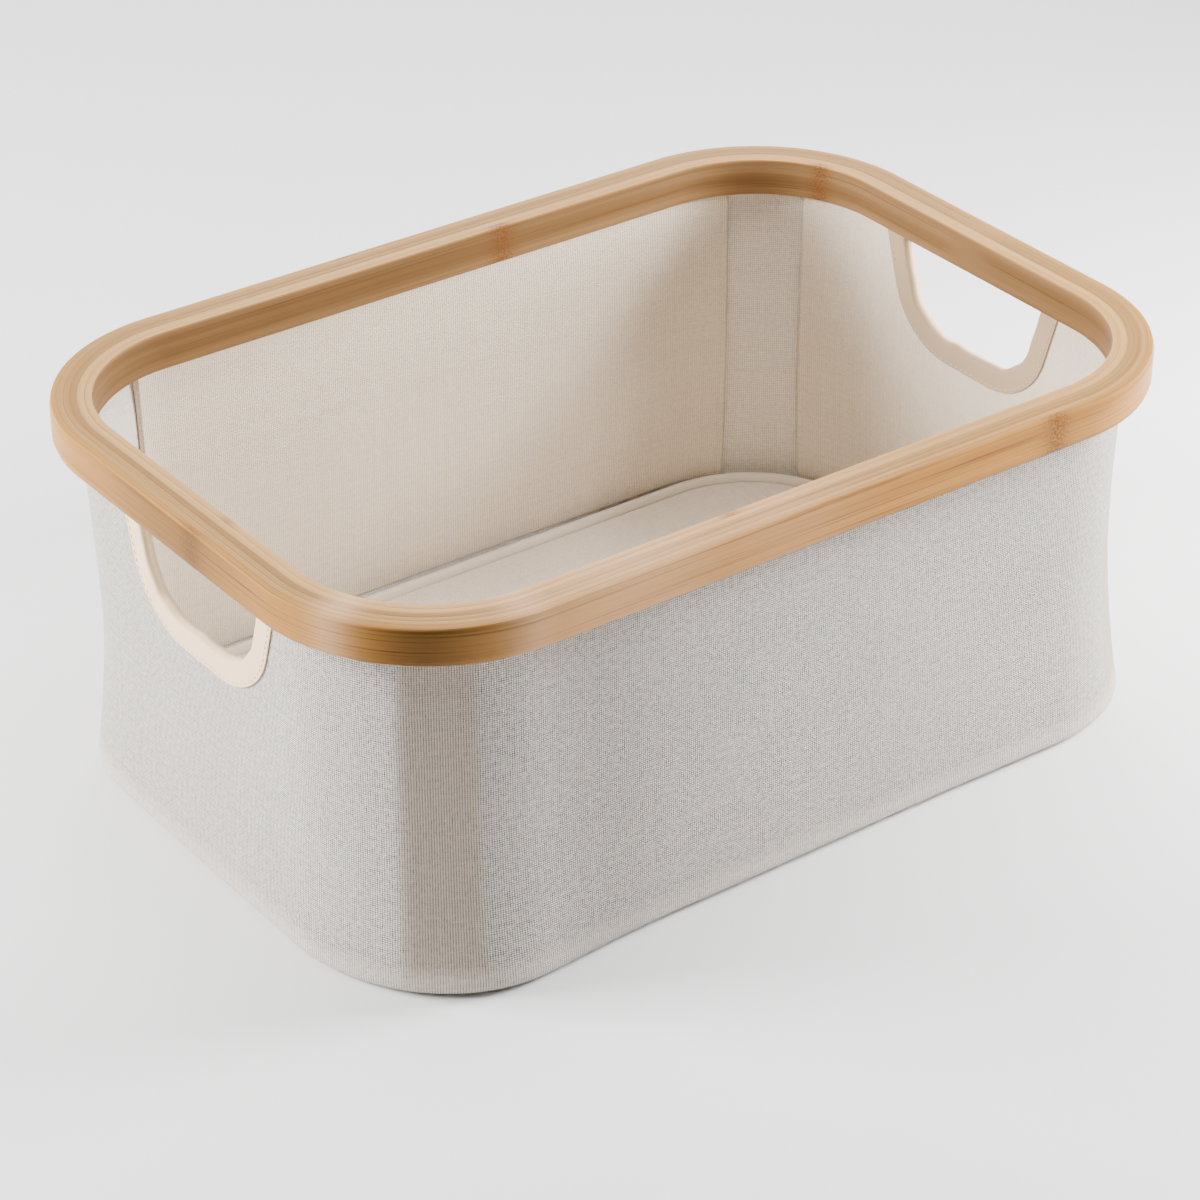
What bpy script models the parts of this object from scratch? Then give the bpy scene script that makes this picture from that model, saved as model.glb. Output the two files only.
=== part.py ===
"""Fabric storage bin with a laminated bamboo rim, a board-stiffened canvas body and two cut-out handles.

Frame: metres, +Z up. X runs along the long sides, Y along the short ones, and the origin is on the
floor under the middle of the bin. Every outline is the rim's own rounded rectangle moved inwards, so
a piece's place is given by its inset, the distance from the rim's outer face to the piece.
"""

import math

import bmesh
import bpy

# Driving dimensions: rim.
RIM_LENGTH = 0.400
RIM_WIDTH = 0.276
RIM_CORNER_RADIUS = 0.0734
RIM_HEIGHT = 0.016
RIM_EDGE_RADIUS = 0.0022
OUTER_PLIES = 4
OUTER_PLY_THICKNESS = 0.00235
INNER_PLIES = 2
INNER_PLY_THICKNESS = 0.0026

# Driving dimensions: canvas body.
BIN_HEIGHT = 0.1605
CANVAS_THICKNESS = 0.0006
CLAMPED_DEPTH = 0.012
FOOT_RADIUS = 0.006
SEAM_INSET = 0.008
SEAM_HEIGHT = 0.007
TAPE_THICKNESS = 0.0005

# Driving dimensions: wall panels.
BOARD_THICKNESS = 0.0016
BOARD_BOTTOM = 0.011
LINING_BOTTOM = 0.004
LONG_PANEL_REACH = math.radians(27.0)
SHORT_PANEL_REACH = math.radians(35.0)

# Driving dimensions: handle openings, measured to the folded edge of their tape.
HANDLE_WIDTH = 0.086
HANDLE_DEPTH = 0.043
HANDLE_CORNER_RADIUS = 0.025
HANDLE_SLANT = math.radians(17.0)
HANDLE_TAPE_WIDTH = 0.0125

# Driving dimensions: lift-out base insert.
INSERT_CLEARANCE = 0.0005
INSERT_BOARD_THICKNESS = 0.0024
INSERT_HEM_WIDTH = 0.025

# Driving dimensions: staples that hold the canvas to the inner hoop.
STAPLE_WIRE = 0.0005
STAPLE_CROWN = 0.010
STAPLE_LEG = 0.0034
STAPLES_PER_LONG_SIDE = 4
STAPLES_PER_SHORT_SIDE = 2

# Clearance between pieces that touch, and the number of flats in each kind of curve.
GAP = 0.0003
CORNER_FLATS = 10
PANEL_FLATS = 4
HANDLE_FLATS = 8
FOOT_FLATS = 4
EDGE_FLATS = 2

# Insets of each layer from the rim's outer face.
HOOP_JOINT = OUTER_PLIES * OUTER_PLY_THICKNESS + (OUTER_PLIES - 1) * GAP
INNER_HOOP_OUTSIDE = HOOP_JOINT + GAP
INNER_HOOP_INSIDE = INNER_HOOP_OUTSIDE + INNER_PLIES * INNER_PLY_THICKNESS + (INNER_PLIES - 1) * GAP
CANVAS_INSIDE = INNER_HOOP_OUTSIDE - GAP
CANVAS_OUTSIDE = CANVAS_INSIDE - CANVAS_THICKNESS
REBATE_FACE = CANVAS_OUTSIDE - GAP
BOARD_OUTSIDE = CANVAS_INSIDE + GAP
BOARD_INSIDE = BOARD_OUTSIDE + BOARD_THICKNESS
LINING_OUTSIDE = BOARD_INSIDE + GAP
LINING_INSIDE = LINING_OUTSIDE + CANVAS_THICKNESS
SEAM_LINE = CANVAS_OUTSIDE + SEAM_INSET
SEAM_TAPE_OUTSIDE = SEAM_LINE - CANVAS_THICKNESS - GAP - TAPE_THICKNESS
BASE_OUTSIDE = SEAM_LINE + GAP
SEAM_TAPE_INSIDE = BASE_OUTSIDE + CANVAS_THICKNESS + GAP + TAPE_THICKNESS
INSERT_OUTSIDE = SEAM_TAPE_INSIDE + INSERT_CLEARANCE

# Heights.
RIM_TOP = BIN_HEIGHT
RIM_BOTTOM = RIM_TOP - RIM_HEIGHT
CANVAS_TOP = RIM_BOTTOM + CLAMPED_DEPTH
REBATE_TOP = CANVAS_TOP + GAP
PANEL_TOP = RIM_BOTTOM - GAP
STAPLE_HEIGHT = RIM_BOTTOM + CLAMPED_DEPTH / 2
INSERT_BOTTOM = CANVAS_THICKNESS + GAP
INSERT_BOARD_BOTTOM = INSERT_BOTTOM + CANVAS_THICKNESS + GAP
INSERT_BOARD_TOP = INSERT_BOARD_BOTTOM + INSERT_BOARD_THICKNESS
INSERT_COVER_UNDERSIDE = INSERT_BOARD_TOP + GAP
INSERT_TOP = INSERT_COVER_UNDERSIDE + CANVAS_THICKNESS

# Colours, roughness and metallic value of each kind of piece.
BAMBOO_LIGHT = ((0.62, 0.40, 0.20), 0.45, 0.0)
BAMBOO_DARK = ((0.50, 0.30, 0.14), 0.45, 0.0)
CANVAS = ((0.60, 0.57, 0.52), 0.90, 0.0)
LINING = ((0.66, 0.60, 0.52), 0.90, 0.0)
TAPE = ((0.74, 0.66, 0.55), 0.85, 0.0)
GREY_BOARD = ((0.45, 0.43, 0.40), 0.80, 0.0)
STEEL = ((0.60, 0.60, 0.62), 0.35, 1.0)


def clear_scene():
    """Remove every object that the file holds."""
    for existing in list(bpy.data.objects):
        bpy.data.objects.remove(existing, do_unlink=True)


def finish_material(target, finish):
    """Give an object its own Principled material."""
    colour, roughness, metallic = finish
    material = bpy.data.materials.new(target.name)
    material.use_nodes = True
    shader = material.node_tree.nodes["Principled BSDF"]
    shader.inputs["Base Color"].default_value = (*colour, 1.0)
    shader.inputs["Roughness"].default_value = roughness
    shader.inputs["Metallic"].default_value = metallic
    target.data.materials.append(material)


def skin(name, loops, finish, wrap=False):
    """Join closed loops of equal count into one solid. Wrap joins the last loop to the first;
    otherwise the first and last loops are filled."""
    shape = bmesh.new()
    rows = [[shape.verts.new(point) for point in loop] for loop in loops]
    pairs = list(zip(rows, rows[1:]))
    if wrap:
        pairs.append((rows[-1], rows[0]))
    else:
        shape.faces.new(rows[0])
        shape.faces.new(rows[-1])
    for near, far in pairs:
        for index, corner in enumerate(near):
            after = (index + 1) % len(near)
            shape.faces.new((corner, near[after], far[after], far[index]))
    bmesh.ops.recalc_face_normals(shape, faces=shape.faces)
    mesh = bpy.data.meshes.new(name)
    shape.to_mesh(mesh)
    shape.free()
    solid = bpy.data.objects.new(name, mesh)
    bpy.context.scene.collection.objects.link(solid)
    mesh.shade_smooth()
    mesh.set_sharp_from_angle(angle=math.radians(35.0))
    if finish:
        finish_material(solid, finish)
    return solid


def cut(target, cutter):
    """Take a cutter's shape out of a piece."""
    cutter.hide_render = True
    cutter.display_type = "WIRE"
    modifier = target.modifiers.new(cutter.name, "BOOLEAN")
    modifier.operation = "DIFFERENCE"
    modifier.solver = "EXACT"
    modifier.object = cutter


def arc(centre, radius, start, end, flats):
    """Points along an arc, in its own plane."""
    angles = [start + (end - start) * step / flats for step in range(flats + 1)]
    return [(centre[0] + radius * math.cos(a), centre[1] + radius * math.sin(a)) for a in angles]


def outline(inset, z):
    """The rim's rounded rectangle moved inwards by inset, at height z."""
    along = RIM_LENGTH / 2 - RIM_CORNER_RADIUS
    across = RIM_WIDTH / 2 - RIM_CORNER_RADIUS
    radius = RIM_CORNER_RADIUS - inset
    centres = ((along, across), (-along, across), (-along, -across), (along, -across))
    points = []
    for quarter, (x, y) in enumerate(centres):
        start = quarter * math.pi / 2
        points += arc((x, y), radius, start, start + math.pi / 2, CORNER_FLATS)
    return [(x, y, z) for x, y in points]


def ring(name, section, finish):
    """A closed hoop whose section is a list of (inset, z) points."""
    return skin(name, [outline(inset, z) for inset, z in section], finish, wrap=True)


# Each wall: its outward direction, half its length and its distance from the middle.
WALLS = {
    "front": ((0, -1), RIM_LENGTH / 2, RIM_WIDTH / 2, LONG_PANEL_REACH),
    "back": ((0, 1), RIM_LENGTH / 2, RIM_WIDTH / 2, LONG_PANEL_REACH),
    "left": ((-1, 0), RIM_WIDTH / 2, RIM_LENGTH / 2, SHORT_PANEL_REACH),
    "right": ((1, 0), RIM_WIDTH / 2, RIM_LENGTH / 2, SHORT_PANEL_REACH),
}


def wall_line(wall, inset):
    """Plan points along one wall, with its reach into the corner at each end."""
    outward, half, distance, reach = WALLS[wall]
    straight = half - RIM_CORNER_RADIUS
    depth = distance - RIM_CORNER_RADIUS
    radius = RIM_CORNER_RADIUS - inset
    upright = math.pi / 2
    points = arc((straight, depth), radius, upright - reach, upright, PANEL_FLATS)
    points += arc((-straight, depth), radius, upright, upright + reach, PANEL_FLATS)
    return [(-outward[1] * t + outward[0] * n, outward[0] * t + outward[1] * n) for t, n in points]


def wall_panel(name, wall, outside, inside, bottom, finish):
    """A stiff or soft sheet that follows one wall and bends into the corners."""
    outer = wall_line(wall, outside)
    inner = wall_line(wall, inside)
    loops = []
    for (ox, oy), (ix, iy) in zip(outer, inner):
        loops.append([(ox, oy, bottom), (ox, oy, PANEL_TOP), (ix, iy, PANEL_TOP), (ix, iy, bottom)])
    return skin(name, loops, finish)


def handle_edge(outset, top):
    """The handle opening's edge in (y, z), moved away from the opening by outset and ended at top."""
    floor = RIM_BOTTOM - HANDLE_DEPTH - outset
    radius = HANDLE_CORNER_RADIUS + outset
    lean = math.tan(HANDLE_SLANT)
    side_at_rim = HANDLE_WIDTH / 2 + outset / math.cos(HANDLE_SLANT)
    turn = math.pi / 2 - HANDLE_SLANT
    centre_z = floor + radius
    side_at_centre = side_at_rim - (RIM_BOTTOM - centre_z) * lean
    centre_y = side_at_centre - radius / math.cos(HANDLE_SLANT)
    side_at_top = side_at_rim + (top - RIM_BOTTOM) * lean
    points = [(side_at_top, top)]
    points += arc((centre_y, centre_z), radius, turn - math.pi / 2, -math.pi / 2, HANDLE_FLATS)
    points += arc((-centre_y, centre_z), radius, -math.pi / 2, -math.pi / 2 - turn, HANDLE_FLATS)
    points.append((-side_at_top, top))
    return points


def handle_cutter(side):
    """The prism that opens the canvas, the board and the lining at one end of the bin."""
    edge = handle_edge(TAPE_THICKNESS + GAP, RIM_BOTTOM + GAP)
    near = side * (RIM_LENGTH / 2 - CANVAS_OUTSIDE + HANDLE_TAPE_WIDTH)
    far = side * (RIM_LENGTH / 2 - LINING_INSIDE - HANDLE_TAPE_WIDTH)
    return skin(f"handle_cutter_{side}", [[(x, y, z) for y, z in edge] for x in (near, far)], None)


def end_wall_x(inset, y):
    """How far from the middle a layer of the end wall is at y: flat, then round the corner."""
    across = RIM_WIDTH / 2 - RIM_CORNER_RADIUS
    radius = RIM_CORNER_RADIUS - inset
    beyond = max(abs(y) - across, 0.0)
    return RIM_LENGTH / 2 - RIM_CORNER_RADIUS + math.sqrt(radius**2 - beyond**2)


def handle_tape(name, side):
    """The folded tape that binds one handle's edge: a leg outside, a fold and a leg inside. It
    follows the end wall, so a wide handle's tape bends with the corners."""
    outside = CANVAS_OUTSIDE - GAP - TAPE_THICKNESS
    inside = LINING_INSIDE + GAP + TAPE_THICKNESS
    section = [
        (HANDLE_TAPE_WIDTH, outside),
        (0.0, outside),
        (0.0, inside),
        (HANDLE_TAPE_WIDTH, inside),
        (HANDLE_TAPE_WIDTH, inside - TAPE_THICKNESS),
        (TAPE_THICKNESS, inside - TAPE_THICKNESS),
        (TAPE_THICKNESS, outside + TAPE_THICKNESS),
        (HANDLE_TAPE_WIDTH, outside + TAPE_THICKNESS),
    ]
    edges = [(handle_edge(outset, PANEL_TOP), inset) for outset, inset in section]
    loops = []
    for station in range(len(edges[0][0])):
        points = [(*edge[station], inset) for edge, inset in edges]
        loops.append([(side * end_wall_x(inset, y), y, z) for y, z, inset in points])
    return skin(name, loops, TAPE)


def staple_places():
    """The middle of each staple's crown on the canvas, with its outward direction."""
    places = []
    for wall, (outward, half, distance, _) in WALLS.items():
        count = STAPLES_PER_LONG_SIDE if wall in ("front", "back") else STAPLES_PER_SHORT_SIDE
        straight = 2 * (half - RIM_CORNER_RADIUS)
        for index in range(count):
            along = straight * ((index + 0.5) / count - 0.5)
            out = distance - CANVAS_OUTSIDE
            centre = (outward[0] * out - outward[1] * along, outward[1] * out + outward[0] * along)
            places.append((centre, outward))
    return places


def staple_point(centre, outward, along, out, z):
    """A point on a staple, from its place along the wall, outwards and up."""
    x = centre[0] + outward[0] * out - outward[1] * along
    y = centre[1] + outward[1] * out + outward[0] * along
    return (x, y, STAPLE_HEIGHT + z)


def staple(name, centre, outward, grow=0.0, finish=STEEL):
    """A square-wire staple lying on the canvas with its legs pointing into the inner hoop. Grown by
    a clearance, the same shape is the space that the staple needs."""
    wire = STAPLE_WIRE
    half = STAPLE_CROWN / 2 + grow
    inner = STAPLE_CROWN / 2 - wire - grow
    crown_out = GAP + wire + grow
    crown_in = GAP - grow
    tip = GAP - STAPLE_LEG - grow
    section = [(-half, crown_out), (half, crown_out), (half, tip), (inner, tip)]
    section += [(inner, crown_in), (-inner, crown_in), (-inner, tip), (-half, tip)]
    rise = wire / 2 + grow
    loops = [[staple_point(centre, outward, a, o, z) for a, o in section] for z in (-rise, rise)]
    return skin(name, loops, finish)


def build_rim():
    """Two laminated hoops, ply by ply. The outermost ply has eased edges, and the innermost ply of
    the outer hoop is rebated for the clamped canvas."""
    outer_plies = []
    for index in range(OUTER_PLIES):
        outside = index * (OUTER_PLY_THICKNESS + GAP)
        inside = outside + OUTER_PLY_THICKNESS
        if index == 0:
            ease = RIM_EDGE_RADIUS
            low = arc((ease, RIM_BOTTOM + ease), ease, 1.5 * math.pi, math.pi, EDGE_FLATS)
            high = arc((ease, RIM_TOP - ease), ease, math.pi, math.pi / 2, EDGE_FLATS)
            section = [(inside, RIM_BOTTOM), *low, *high, (inside, RIM_TOP)]
        elif index == OUTER_PLIES - 1:
            section = [(outside, RIM_BOTTOM), (outside, RIM_TOP), (inside, RIM_TOP), (inside, REBATE_TOP)]
            section += [(REBATE_FACE, REBATE_TOP), (REBATE_FACE, RIM_BOTTOM)]
        else:
            section = [(outside, RIM_BOTTOM), (outside, RIM_TOP), (inside, RIM_TOP), (inside, RIM_BOTTOM)]
        finish = BAMBOO_LIGHT if index == 0 else BAMBOO_DARK
        outer_plies.append(ring(f"outer_hoop_ply_{index + 1}", section, finish))
    inner_plies = []
    for index in range(INNER_PLIES):
        outside = INNER_HOOP_OUTSIDE + index * (INNER_PLY_THICKNESS + GAP)
        inside = outside + INNER_PLY_THICKNESS
        section = [(outside, RIM_BOTTOM), (outside, RIM_TOP), (inside, RIM_TOP), (inside, RIM_BOTTOM)]
        inner_plies.append(ring(f"inner_hoop_ply_{index + 1}", section, BAMBOO_LIGHT))
    return outer_plies, inner_plies


def build_sleeve():
    """The canvas wall: clamped in the rim, turned under at the foot and turned up at the base seam."""
    turn_inset = CANVAS_OUTSIDE + FOOT_RADIUS
    foot = (turn_inset, FOOT_RADIUS)
    inner_radius = FOOT_RADIUS - CANVAS_THICKNESS
    outer_face = arc(foot, FOOT_RADIUS, math.pi, 1.5 * math.pi, FOOT_FLATS)
    inner_face = arc(foot, inner_radius, 1.5 * math.pi, math.pi, FOOT_FLATS)
    upstand = SEAM_LINE - CANVAS_THICKNESS
    section = [(CANVAS_OUTSIDE, CANVAS_TOP), *outer_face, (SEAM_LINE, 0.0), (SEAM_LINE, SEAM_HEIGHT)]
    section += [(upstand, SEAM_HEIGHT), (upstand, CANVAS_THICKNESS), *inner_face, (CANVAS_INSIDE, CANVAS_TOP)]
    return ring("canvas_sleeve", section, CANVAS)


def build_base():
    """The base panel with its edge turned up at the seam, and the tape that binds the seam inside."""
    inside = BASE_OUTSIDE + CANVAS_THICKNESS
    loops = [outline(BASE_OUTSIDE, 0.0), outline(BASE_OUTSIDE, SEAM_HEIGHT)]
    loops += [outline(inside, SEAM_HEIGHT), outline(inside, CANVAS_THICKNESS)]
    skin("base_panel", loops, CANVAS)
    low = CANVAS_THICKNESS + GAP
    high = SEAM_HEIGHT + GAP
    outer_leg = SEAM_TAPE_OUTSIDE + TAPE_THICKNESS
    inner_leg = SEAM_TAPE_INSIDE - TAPE_THICKNESS
    section = [(SEAM_TAPE_OUTSIDE, low), (SEAM_TAPE_OUTSIDE, high + TAPE_THICKNESS)]
    section += [(SEAM_TAPE_INSIDE, high + TAPE_THICKNESS), (SEAM_TAPE_INSIDE, low)]
    section += [(inner_leg, low), (inner_leg, high), (outer_leg, high), (outer_leg, low)]
    ring("seam_tape", section, TAPE)


def build_walls(sleeve):
    """Four boards between the sleeve and the lining panels, opened at both ends for the handles."""
    panels = {}
    for wall in WALLS:
        board = wall_panel(f"board_{wall}", wall, BOARD_OUTSIDE, BOARD_INSIDE, BOARD_BOTTOM, GREY_BOARD)
        lining = wall_panel(f"lining_{wall}", wall, LINING_OUTSIDE, LINING_INSIDE, LINING_BOTTOM, LINING)
        panels[wall] = (board, lining)
    for wall, side in (("left", -1), ("right", 1)):
        cutter = handle_cutter(side)
        for piece in (sleeve, *panels[wall]):
            cut(piece, cutter)
        handle_tape(f"handle_tape_{wall}", side)


def build_insert():
    """The lift-out base: a board in a canvas cover whose hem is folded underneath. Both pieces hang
    on an empty that stands on the insert's lifting axis."""
    inner = INSERT_OUTSIDE + CANVAS_THICKNESS
    board_edge = inner + GAP
    hem = INSERT_OUTSIDE + INSERT_HEM_WIDTH
    board = skin("insert_board", [outline(board_edge, INSERT_BOARD_BOTTOM),
                                  outline(board_edge, INSERT_BOARD_TOP)], GREY_BOARD)
    hem_top = INSERT_BOTTOM + CANVAS_THICKNESS
    loops = [outline(INSERT_OUTSIDE, INSERT_TOP), outline(INSERT_OUTSIDE, INSERT_BOTTOM)]
    loops += [outline(hem, INSERT_BOTTOM), outline(hem, hem_top)]
    loops += [outline(inner, hem_top), outline(inner, INSERT_COVER_UNDERSIDE)]
    cover = skin("insert_cover", loops, LINING)
    lift_axis = bpy.data.objects.new("insert_lift_axis", None)
    bpy.context.scene.collection.objects.link(lift_axis)
    for piece in (board, cover):
        piece.parent = lift_axis


def build_staples(sleeve, outer_ply, inner_ply):
    """Staples through the canvas into the inner hoop, with the space each needs in its neighbours."""
    for index, (centre, outward) in enumerate(staple_places()):
        number = f"{index + 1:02d}"
        staple(f"staple_{number}", centre, outward)
        space = staple(f"staple_space_{number}", centre, outward, GAP, None)
        for piece in (sleeve, outer_ply, inner_ply):
            cut(piece, space)


def main():
    clear_scene()
    outer_plies, inner_plies = build_rim()
    sleeve = build_sleeve()
    build_base()
    build_walls(sleeve)
    build_insert()
    build_staples(sleeve, outer_plies[-1], inner_plies[0])


main()
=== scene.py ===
"""Looks of the fabric storage bin: a laminated bamboo rim, a canvas body stiffened with boards, taped
handle openings and a lift-out base insert. Metres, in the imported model's own frame."""

import math

import bpy
import numpy as np
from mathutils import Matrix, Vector


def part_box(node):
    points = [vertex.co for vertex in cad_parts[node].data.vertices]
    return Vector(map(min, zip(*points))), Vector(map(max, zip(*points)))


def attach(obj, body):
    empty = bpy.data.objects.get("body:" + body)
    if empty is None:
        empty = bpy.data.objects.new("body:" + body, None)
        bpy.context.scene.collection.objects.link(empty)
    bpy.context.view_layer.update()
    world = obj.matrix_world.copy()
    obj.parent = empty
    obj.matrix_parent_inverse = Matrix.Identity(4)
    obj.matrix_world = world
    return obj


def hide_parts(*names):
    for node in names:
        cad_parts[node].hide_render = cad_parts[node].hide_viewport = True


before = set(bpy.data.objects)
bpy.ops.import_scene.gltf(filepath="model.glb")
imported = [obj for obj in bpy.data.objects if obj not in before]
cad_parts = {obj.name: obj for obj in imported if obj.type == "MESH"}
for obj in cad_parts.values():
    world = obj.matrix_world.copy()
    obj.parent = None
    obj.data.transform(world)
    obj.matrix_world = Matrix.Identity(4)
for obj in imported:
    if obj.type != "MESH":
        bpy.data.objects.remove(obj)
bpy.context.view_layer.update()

# Sizes of the rim and the body, read from the frame where it holds them.
RIM_LOW, RIM_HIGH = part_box("outer_hoop_ply_1")
HALF_LENGTH = RIM_HIGH.x
HALF_WIDTH = RIM_HIGH.y
RIM_TOP = RIM_HIGH.z
RIM_BOTTOM = RIM_LOW.z
CORNER_RADIUS = 0.0734
RIM_EDGE_RADIUS = 0.0022
ALONG = HALF_LENGTH - CORNER_RADIUS
ACROSS = HALF_WIDTH - CORNER_RADIUS

HANDLE_WIDTH = 0.086
HANDLE_DEPTH = 0.0392
HANDLE_CORNER_RADIUS = 0.025
HANDLE_SLANT = math.radians(17.0)
HANDLE_TAPE_WIDTH = 0.0102
# The left end's panels and handle sit a little nearer the front than its middle.
HANDLE_SHIFTS = {"left": -0.0055, "right": 0.0}

# How far round each corner the end wall's panel and the long wall's panel reach, in degrees. The
# panels were set by hand, so the four corners differ a little. Keys are the sides of x and y.
PANEL_REACHES = {
    (-1, -1): (44.5, 20.5),
    (-1, 1): (28.0, 12.0),
    (1, 1): (33.0, 24.0),
    (1, -1): (35.0, 30.0),
}
FOOT_RADIUS = 0.006

# Thread spacing of the canvas, and the length of a sewn stitch with the gap after it.
WARP_PITCH = 0.00094
WEFT_PITCH = 0.00088
STITCH_LENGTH = 0.0022
STITCH_PITCH = 0.0031


def inset_of(node):
    """How far a node's outermost face lies inside the rim's outer face."""
    return HALF_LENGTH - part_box(node)[1].x


CANVAS_OUTSIDE = inset_of("canvas_sleeve")
CANVAS_THICKNESS = 0.0006
BOARD_OUTSIDE = inset_of("board_right")
LINING_OUTSIDE = inset_of("lining_right")
LINING_INSIDE = LINING_OUTSIDE + CANVAS_THICKNESS
CANVAS_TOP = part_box("canvas_sleeve")[1].z
SEAM_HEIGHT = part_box("base_panel")[1].z
BASE_OUTSIDE = inset_of("base_panel")
INSERT_OUTSIDE = inset_of("insert_cover")
INSERT_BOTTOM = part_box("insert_cover")[0].z
INSERT_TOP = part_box("insert_cover")[1].z
BOARD_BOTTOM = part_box("board_front")[0].z
BOARD_THICKNESS = 0.0016
PANEL_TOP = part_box("board_front")[1].z
LINING_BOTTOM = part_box("lining_front")[0].z


# ---------------------------------------------------------------- plan outline and its deformation


def outline(inset, corner_steps=28, long_steps=64, short_steps=40):
    """Points round the rim's rounded rectangle moved inwards, anticlockwise from the right end's middle."""
    radius = CORNER_RADIUS - inset
    end_x, end_y = ALONG + radius, ACROSS + radius
    points = []

    def straight(start, end, steps):
        for step in range(steps):
            share = step / steps
            points.append((start[0] + (end[0] - start[0]) * share, start[1] + (end[1] - start[1]) * share))

    def corner(centre, quarter):
        for step in range(corner_steps):
            angle = (quarter + step / corner_steps) * math.pi / 2
            points.append((centre[0] + radius * math.cos(angle), centre[1] + radius * math.sin(angle)))

    straight((end_x, 0.0), (end_x, ACROSS), short_steps // 2)
    corner((ALONG, ACROSS), 0)
    straight((ALONG, end_y), (-ALONG, end_y), long_steps)
    corner((-ALONG, ACROSS), 1)
    straight((-end_x, ACROSS), (-end_x, -ACROSS), short_steps)
    corner((-ALONG, -ACROSS), 2)
    straight((-ALONG, -end_y), (ALONG, -end_y), long_steps)
    corner((ALONG, -ACROSS), 3)
    straight((end_x, -ACROSS), (end_x, 0.0), short_steps // 2)
    return np.array(points)


def run_of(points, closed=True):
    """Running length along a line, back to its start where the line is closed."""
    line = np.concatenate([points, points[:1]]) if closed else np.asarray(points)
    return np.concatenate([[0.0], np.cumsum(np.linalg.norm(np.diff(line, axis=0), axis=1))])


def ring_grid(section, *steps):
    """A grid of points: the rounded rectangle at each (inset, height) of a section."""
    columns = []
    for inset, z in section:
        plan = outline(inset, *steps)
        columns.append(np.column_stack([plan, np.full(len(plan), z)]))
    return np.stack(columns, axis=1)


def plan_frame(x, y):
    """Outward normal and the distance along the wall from the middle of the end, for plan points.
    The distance runs from an end's middle, round the corner, to the long side's middle."""
    beyond_x = np.clip(np.abs(x) - ALONG, 0.0, None)
    beyond_y = np.clip(np.abs(y) - ACROSS, 0.0, None)
    reach = np.hypot(beyond_x, beyond_y)
    safe = np.where(reach > 1e-9, reach, 1.0)
    normal_x = np.where(reach > 1e-9, beyond_x / safe, 0.0) * np.sign(x)
    normal_y = np.where(reach > 1e-9, beyond_y / safe, 0.0) * np.sign(y)
    angle = np.arctan2(beyond_y, np.maximum(beyond_x, 1e-9))
    angle = np.where(reach > 1e-9, angle, 0.0)
    distance = np.minimum(np.abs(y), ACROSS) + WALL_RADIUS * angle + (ALONG - np.minimum(np.abs(x), ALONG))
    return normal_x, normal_y, distance


WALL_RADIUS = CORNER_RADIUS - CANVAS_OUTSIDE
CORNER_MIDDLE = ACROSS + WALL_RADIUS * math.pi / 4
LONG_MIDDLE = ACROSS + WALL_RADIUS * math.pi / 2 + ALONG


def at_corner(x, y, side_x, side_y):
    """Whether points lie in the quarter of the plan that holds one corner."""
    return ((x < 0) == (side_x < 0)) & ((y < 0) == (side_y < 0))


def reaches_at(x, y):
    """The reach of the end panel and of the long panel, in radians, at the corner nearest each point."""
    reaches = np.zeros((2, *x.shape))
    for (side_x, side_y), degrees in PANEL_REACHES.items():
        here = at_corner(x, y, side_x, side_y)
        for reach, angle in zip(reaches, degrees):
            reach[here] = math.radians(angle)
    return reaches


def bump(value, centre, width):
    """A smooth hill of height one."""
    return np.exp(-(((value - centre) / width) ** 2))


def belly(z, low, high, power=1.0):
    """Zero at two heights and one between them."""
    share = np.clip((z - low) / (high - low), 0.0, 1.0)
    return np.sin(np.pi * share) ** power


# How each corner's soft fabric is drawn in between floor and rim: (side of x, side of y, depth, width).
CORNER_PINCHES = (
    (-1, 1, 0.0062, 0.040),
    (1, 1, 0.0030, 0.036),
    (1, -1, 0.0022, 0.036),
    (-1, -1, 0.0006, 0.040),
)
# How far a bent board springs out at its free edge: (side of x, side of y, at the end wall, at the long wall).
BOARD_SPRINGS = ((-1, -1, 0.0028, 0.0006),)
# The walls spread towards the foot, more so where a corner is squarer at the floor than at the rim:
# (side of x, side of y, depth, place along the wall from the middle of the end, width).
FOOT_SPREAD = 0.0034
SPREAD_HEIGHT = 0.075
SQUARE_CORNERS = ((-1, -1, 0.0050, 0.148, 0.045), (1, -1, 0.0040, 0.115, 0.032))
# Hills and hollows of the long walls, of the end walls and of the front foot: (depth, place, width).
LONG_BULGE = (0.0019, LONG_MIDDLE, 0.105)
END_BULGE = (0.0004, 0.0, 0.05)
FRONT_TUCK = (0.0016, 0.035, 0.075)


def hill_of(shape, value):
    """A hill of its own depth, place and width."""
    depth, place, width = shape
    return depth * bump(value, place, width)


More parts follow.
